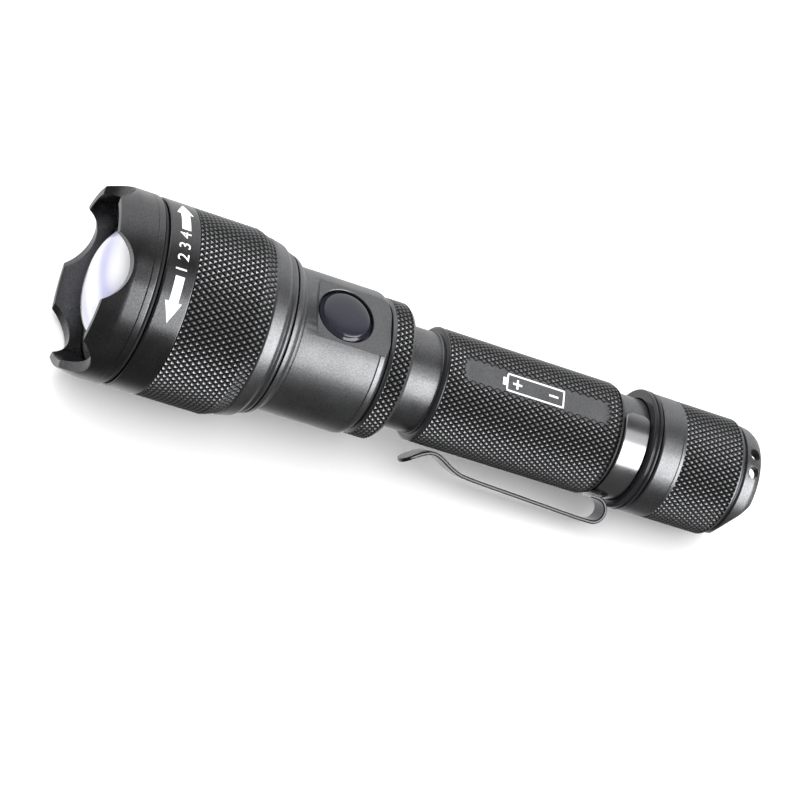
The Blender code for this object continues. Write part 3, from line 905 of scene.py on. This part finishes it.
def make_grip_ring(mat):
    """The black ring in front of the grip."""
    front, rear = GRIP_FRONT - 1.15, GRIP_FRONT - 0.1
    outline = [(front, NECK_R), (front, 12.2, 0.3), (front + 0.5, 12.75, 0.3)]
    outline += [(rear, 12.6, 0.2), (rear, NECK_R)]
    return settle(lathe("grip_front_ring", outline, mat["black_ring"]))


def make_flange(mat):
    """The black ring with two ridges in front of the tail cap."""
    bore, ridge, valley = 11.45, 13.6, 13.1
    outline = [
        (FLANGE_FRONT, bore),
        (FLANGE_FRONT, 13.3, 0.2),
        (-23.95, 13.55, 0.2),
        (-23.4, ridge, 0.25),
        (-23.2, valley, 0.05),
        (-22.95, valley, 0.05),
        (-22.75, ridge, 0.25),
        (FLANGE_REAR - 0.25, 13.55, 0.2),
        (FLANGE_REAR, 13.2, 0.2),
        (FLANGE_REAR, bore),
    ]
    return settle(lathe("tail_ring", outline, mat["black_ring"]))


# ---------------------------------------------------------------- clip


def bend_point(angle):
    """A place on the clip's round bend, as (station, height over the axis)."""
    turn, radius = math.radians(angle), 2.75
    return (-27.75 + radius * math.cos(turn), 14.95 + radius * math.sin(turn))


def smooth_path(points, steps):
    """Catmull-Rom curve through points of two values."""
    result = []
    last = len(points) - 1
    for i in range(last):
        p0, p1, p2, p3 = (Vector(points[max(0, min(last, k))]) for k in (i - 1, i, i + 1, i + 2))
        for s in range(steps):
            t = s / steps
            result.append(
                0.5 * (2 * p1 + (p2 - p0) * t + (2 * p0 - 5 * p1 + 4 * p2 - p3) * t * t
                       + (3 * p1 - p0 - 3 * p2 + p3) * t ** 3)
            )
    result.append(Vector(points[-1]))
    return result


def strip_section(x, height, tangent, width, thickness):
    """Eight corners of the strip's section, square to the way that it runs."""
    out = around(CLIP_SIDE)
    along = (Vector((tangent.x, 0, 0)) + tangent.y * out).normalized()
    side = Vector((1, 0, 0)).cross(out)
    normal = along.cross(side)
    middle = Vector((x, 0, 0)) + height * out
    edge = thickness * 0.3
    corners = [
        (-1, 0, -1, 1), (-1, 1, -1, 0), (1, -1, -1, 0), (1, 0, -1, 1),
        (1, 0, 1, -1), (1, -1, 1, 0), (-1, 1, 1, 0), (-1, 0, 1, -1),
    ]
    return [
        (middle + side * (su * width / 2 + du * edge) + normal * (sv * thickness / 2 + dv * edge)) * MM
        for su, du, sv, dv in corners
    ]


def clip_band_strip(mat):
    """A C-shaped band round the rear neck, with rounded ends."""
    front, rear, inner, outer, edge = low("clip_band").x, -24.6, 11.45, 12.1, 0.18
    reach, step, end_length, end_drop = 130.0, 2.0, 8.0, 1.5
    count = round(2 * reach / step)
    sections = []
    for i in range(count + 1):
        angle = CLIP_SIDE - reach + i * step
        from_end = min(i, count - i) * step
        lost = 1.0 - min(from_end, end_length) / end_length
        short = end_drop * (1.0 - math.sqrt(max(0.0, 1.0 - lost ** 2)))
        a, b = front + short, rear - short
        corners = (
            (a + edge, inner), (b - edge, inner), (b, inner + edge), (b, outer - edge),
            (b - edge, outer), (a + edge, outer), (a, outer - edge), (a, inner + edge),
        )
        sections.append([place(*corner, angle) for corner in corners])
    bm = bmesh.new()
    add_loft(bm, sections)
    return from_bmesh("clip_strip", bm, mat["steel"])


def clip_arm_strip():
    """The strip that leaves the band, turns back over the grip and ends in a rounded, lifted tip."""
    full, tip_width, tip_length, thickness = 5.5, 1.6, 2.2, 0.8
    path = [(-29.4, 12.2)] + [bend_point(a) for a in range(-90, 91, 15)]
    path += smooth_path(
        [
            (-31.0, 17.7), (-45.0, 17.15), (-58.0, 16.6), (-61.8, 15.9),
            (-65.6, 14.1), (-67.8, 13.6), (-70.3, 14.5), (-74.0, 17.1),
        ],
        8,
    )
    path = [Vector(p) for p in path]
    sections = []
    for i, here in enumerate(path):
        tangent = path[min(i + 1, len(path) - 1)] - path[max(i - 1, 0)]
        left = (path[-1] - here).length
        width = full
        if left <= tip_length:
            bow = math.sqrt(max(0.0, 1.0 - (1.0 - left / tip_length) ** 2))
            width = tip_width + (full - tip_width) * bow
        sections.append(strip_section(here.x, here.y, tangent, width, thickness))
    bm = bmesh.new()
    add_loft(bm, sections)
    return from_bmesh("clip_arm_strip", bm)


def make_clip(mat):
    """Band and arm as one bent strip."""
    band, arm = clip_band_strip(mat), clip_arm_strip()
    union = band.modifiers.new("arm", "BOOLEAN")
    union.operation = "UNION"
    union.solver = "EXACT"
    union.object = arm
    settle(band, 35.0)
    bpy.data.objects.remove(arm, do_unlink=True)
    polished_r = 12.25  # the band is polished, and the arm beyond it is dark
    repaint(band, mat["dark_steel"], lambda spot: math.hypot(spot.y, spot.z) > polished_r)
    return band


# ---------------------------------------------------------------- tail


def make_tail_cap(mat):
    knurl_front, knurl_rear = -15.9, -1.8
    bore, seal_bore, floor, seat, line = 11.45, 12.5, -6.0, -19.9, -16.75
    cap = lathe(
        "tail_shell",
        [
            (floor, 0.0),
            (floor, bore),
            (seat, bore),
            (seat, seal_bore),
            (CAP_FRONT, seal_bore),
            (CAP_FRONT, 13.1, 0.1),
            (CAP_FRONT + 0.3, CAP_R, 0.15),
            (line - 0.15, CAP_R, 0.05),
            (line, CAP_R - 0.12, 0.03),
            (line + 0.15, CAP_R - 0.03, 0.05),
            (knurl_front, CAP_R - 0.1, 0.05),
            (knurl_front, CAP_R - SEAT_DEPTH, 0.0),
            (knurl_rear, CAP_R - SEAT_DEPTH, 0.0),
            (knurl_rear, CAP_R - 0.05, 0.05),
            (-1.5, CAP_R - 0.05, 0.3),
            (-0.9, 12.8, 0.1),
            (-0.9, 11.9),
            (-0.2, 11.9),
            (0.0, 12.6, 0.1),
            (2.6, 12.3, 0.4),
            (CAP_REAR, 11.5, 0.4),
            (CAP_REAR, 10.0, 0.3),
            (0.0, 10.0, 0.2),
            (0.0, 0.0),
        ],
        mat["body"],
    )
    gap_r, hole_x = 10.2, 2.1
    across, middle = EAR_SIDE + 90.0, 0.5 + gap_r
    gap = rod("ear_gap", [(place(middle, -16.0, across), place(middle, 16.0, across))], gap_r, 128)
    holes = (EAR_SIDE + 8.0, EAR_SIDE - 12.0)
    ends = [(place(hole_x, 8.5, angle), place(hole_x, 14.0, angle)) for angle in holes]
    subtract(cap, gap)
    subtract(cap, rod("lanyard_holes", ends, 1.35, 32))
    soften(cap, 0.15)
    grip = knurl("tail_knurl", knurl_front, knurl_rear, TAIL_DIAMONDS, lambda x: CAP_R, [mat["tail_knurl"]])
    return cap, grip


# ---------------------------------------------------------------- stage


def make_stage():
    """A pale floor that touches the head and the tail cap, and doesn't show in reflections."""
    head_x, tail_x = -134.0, -12.0
    slope = math.atan2(BAND_R - CAP_R, tail_x - head_x)
    bm = bmesh.new()
    bmesh.ops.create_grid(bm, x_segments=8, y_segments=8, size=6.0)
    floor = from_bmesh("floor", bm)
    material, shader = principled("floor_paper", (0.9, 0.9, 0.9), 0.8)
    paper = add_noise(material, 900.0)
    tint(material, shader, paper.outputs["Fac"], (0.89, 0.89, 0.89), (0.92, 0.92, 0.92))
    floor.data.materials.append(material)
    floor.location = Vector((head_x, 0, -BAND_R - 0.05)) * MM
    floor.rotation_euler = (0.0, -slope, 0.0)
    floor.visible_glossy = False


def view_axes():
    """The direction from the flashlight's axis to the camera, square to the axis, and the camera's axes.

    away is the axis' tilt from the picture plane, slope its lean in the picture, and lift the camera's
    height over the side of the flashlight.
    """
    away, slope, lift = math.radians(20.93), math.radians(17.545), math.radians(52.5)
    near = Vector((0.0, -math.cos(lift), math.sin(lift)))
    down = Vector((0.0, -math.sin(lift), -math.cos(lift)))
    axis = Vector((1.0, 0.0, 0.0))
    forward = -math.cos(away) * near + math.sin(away) * axis
    right = math.cos(away) * axis + math.sin(away) * near
    return (
        near,
        math.cos(slope) * right - math.sin(slope) * down,
        math.sin(slope) * right + math.cos(slope) * down,
        forward,
    )


def make_camera():
    right, down, forward = view_axes()[1:]
    distance, below, station = 630.5, 4.835, -77.93
    data = bpy.data.cameras.new("camera")
    data.sensor_width = 36.0
    data.lens = 132.93
    data.clip_start = 0.01
    camera = bpy.data.objects.new("camera", data)
    bpy.context.scene.collection.objects.link(camera)
    lean = math.radians(16.6)
    picture_down = down * math.cos(lean) - right * math.sin(lean)
    camera.matrix_world = Matrix.Translation(
        (Vector((station, 0, 0)) + below * picture_down - distance * forward) * MM
    ) @ Matrix((right, -down, -forward)).transposed().to_4x4()
    bpy.context.scene.camera = camera


def area_light(name, toward, distance, width, height, radiance):
    """A soft rectangle at a direction from the flashlight's middle, facing it."""
    data = bpy.data.lights.new(name, "AREA")
    data.shape = "RECTANGLE"
    data.size, data.size_y = width, height
    data.energy = radiance * math.pi * width * height
    light = bpy.data.objects.new(name, data)
    bpy.context.scene.collection.objects.link(light)
    back = toward.normalized()
    x_axis = Vector((1, 0, 0)).cross(back).normalized()
    y_axis = back.cross(x_axis)
    middle = Vector((-0.075, 0, 0))
    light.matrix_world = Matrix.Translation(middle + back * distance) @ Matrix(
        (x_axis, y_axis, back)
    ).transposed().to_4x4()
    return light


def section_direction(angle, toward_tail):
    """Direction at angle degrees from near towards the far top, leaning to the tail by some degrees."""
    near = view_axes()[0]
    top = Vector((0.0, near.z, -near.y))
    turn, lean = math.radians(angle), math.radians(toward_tail)
    across = math.cos(turn) * near + math.sin(turn) * top
    return math.cos(lean) * across + math.sin(lean) * Vector((1, 0, 0))


def make_world():
    """A soft room: reflections see one side bright, and everything else sees it evenly lit."""
    even, bright_side = 1.9, Vector((-0.15, 0.93, -0.3)).normalized()
    world = bpy.data.worlds.new("world")
    bpy.context.scene.world = world
    world.use_nodes = True
    nodes, links = world.node_tree.nodes, world.node_tree.links
    background = nodes["Background"]
    where = nodes.new("ShaderNodeTexCoord")
    dot = nodes.new("ShaderNodeVectorMath")
    dot.operation = "DOT_PRODUCT"
    dot.inputs[1].default_value = bright_side
    links.new(where.outputs["Generated"], dot.inputs[0])
    ramp = nodes.new("ShaderNodeMapRange")
    ramp.interpolation_type = "SMOOTHSTEP"
    for socket, value in (("From Min", -0.12), ("From Max", 0.55), ("To Min", 0.1), ("To Max", 0.95)):
        ramp.inputs[socket].default_value = value
    links.new(dot.outputs["Value"], ramp.inputs["Value"])
    path = nodes.new("ShaderNodeLightPath")
    pick = nodes.new("ShaderNodeMix")
    pick.data_type = "FLOAT"
    pick.inputs["A"].default_value = even
    links.new(path.outputs["Is Glossy Ray"], pick.inputs["Factor"])
    links.new(ramp.outputs["Result"], pick.inputs["B"])
    links.new(pick.outputs["Result"], background.inputs["Strength"])
    background.inputs["Color"].default_value = (1, 1, 1, 1)


def make_lights():
    """Two panels that only the metal reflects, and a key light that only casts the soft shadow."""
    lower = area_light("band_low", section_direction(-12, 40), 0.9, 0.7, 0.95, 4.8)
    upper = area_light("band_high", section_direction(22, 40), 0.9, 0.5, 0.95, 1.0)
    for light in (lower, upper):
        light.visible_diffuse = False
    key = area_light("key", Vector((-0.5, 0.55, 1.0)), 1.2, 0.5, 0.5, 3.6)
    key.visible_glossy = False


# ---------------------------------------------------------------- assembly


def attach(piece, body, slot, *replaced):
    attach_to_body(piece, body)
    if replaced:
        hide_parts(*replaced)


def build_head(mat):
    attach(make_bezel(mat), "head", "head_metal", "bezel")
    attach(make_lens(mat), "head", "lens_glass", "lens")
    attach(make_lens_ring(mat), "head", "black_ring", "lens_retaining_ring")
    shell, grip = make_sleeve(mat)
    attach(shell, "head", "head_metal", "head_sleeve")
    attach(grip, "head", "head_metal")
    attach(torus("bezel_seal", -142.05, 19.4, 0.5, mat["rubber"]), "head", "rubber", "bezel_oring")


def build_body(mat):
    attach(make_housing(mat), "housing", "body_metal", "switch_housing")
    attach(make_button(mat), "button", "button_gloss", "button_cap")
    ring, ring_knurl = make_lock_ring(mat)
    attach(ring, "housing", "body_metal", "lock_ring")
    attach(ring_knurl, "housing", "grip_metal")
    tube, tube_knurl = make_tube(mat)
    attach(make_grip_ring(mat), "housing", "black_ring")
    attach(tube, "housing", "body_metal", "battery_tube")
    attach(tube_knurl, "housing", "grip_metal")
    attach(make_flange(mat), "housing", "black_ring", "tail_flange_ring")


def build_clip(mat):
    """Builds the clip as one mesh, not attached to a body, and hides the clip's CAD nodes."""
    clip = make_clip(mat)
    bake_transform(clip)
    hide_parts("clip_band", "clip_arm")


def build_tail(mat):
    cap, cap_knurl = make_tail_cap(mat)
    attach(cap, "tail", "body_metal", "tail_cap")
    attach(cap_knurl, "tail", "grip_metal")


def build_marks(mat):
    """White print: two direction arrows with a scale between them, and the battery sign."""
    shapes = [arrow(1), arrow(-1)] + text_outlines("1 2 3 4", 3.5)
    band_x = (SLEEVE_FRONT + KNURL_FRONT) / 2
    marks = wrap_shape("band_marks", shapes, BAND_R, MARKS_SIDE, band_x, 0.05, mat["print"])
    attach(marks, "head", "head_metal")
    attach(make_battery_sign(mat), "housing", "grip_metal")


def dress_frame(mat):
    """Gives the CAD nodes that stay in sight or inside their finishes."""
    finishes = {
        "rubber": ["lens_gasket", "focus_oring", "housing_oring", "tail_oring", "button_seal"],
        "steel": ["cam_pin_1", "cam_pin_2", "cam_pin_3", "battery_positive_cap"],
        "bare": ["heat_sink_pill"],
        "lamp_board": ["led_board"],
        "phosphor": ["led_package"],
        "glass": ["led_dome"],
        "red": ["wire_positive"],
        "plastic": ["wire_negative", "tactile_switch", "switch_stem", "button_plunger"],
        "pale": ["switch_carrier"],
        "board": ["switch_board", "driver_board", "tail_board"],
        "brass": ["driver_spring", "tail_spring", "tail_retaining_ring"],
        "wrap": ["battery_cell"],
    }
    for finish, names in finishes.items():
        for name in names:
            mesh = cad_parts[name].data
            mesh.materials.clear()
            mesh.materials.append(mat[finish])


def main():
    bpy.context.scene.view_settings.view_transform = "Standard"
    make_camera()
    make_stage()
    make_lights()
    make_world()
    mat = make_materials()
    for build in (build_head, build_body, build_clip, build_tail, build_marks, dress_frame):
        build(mat)


main()
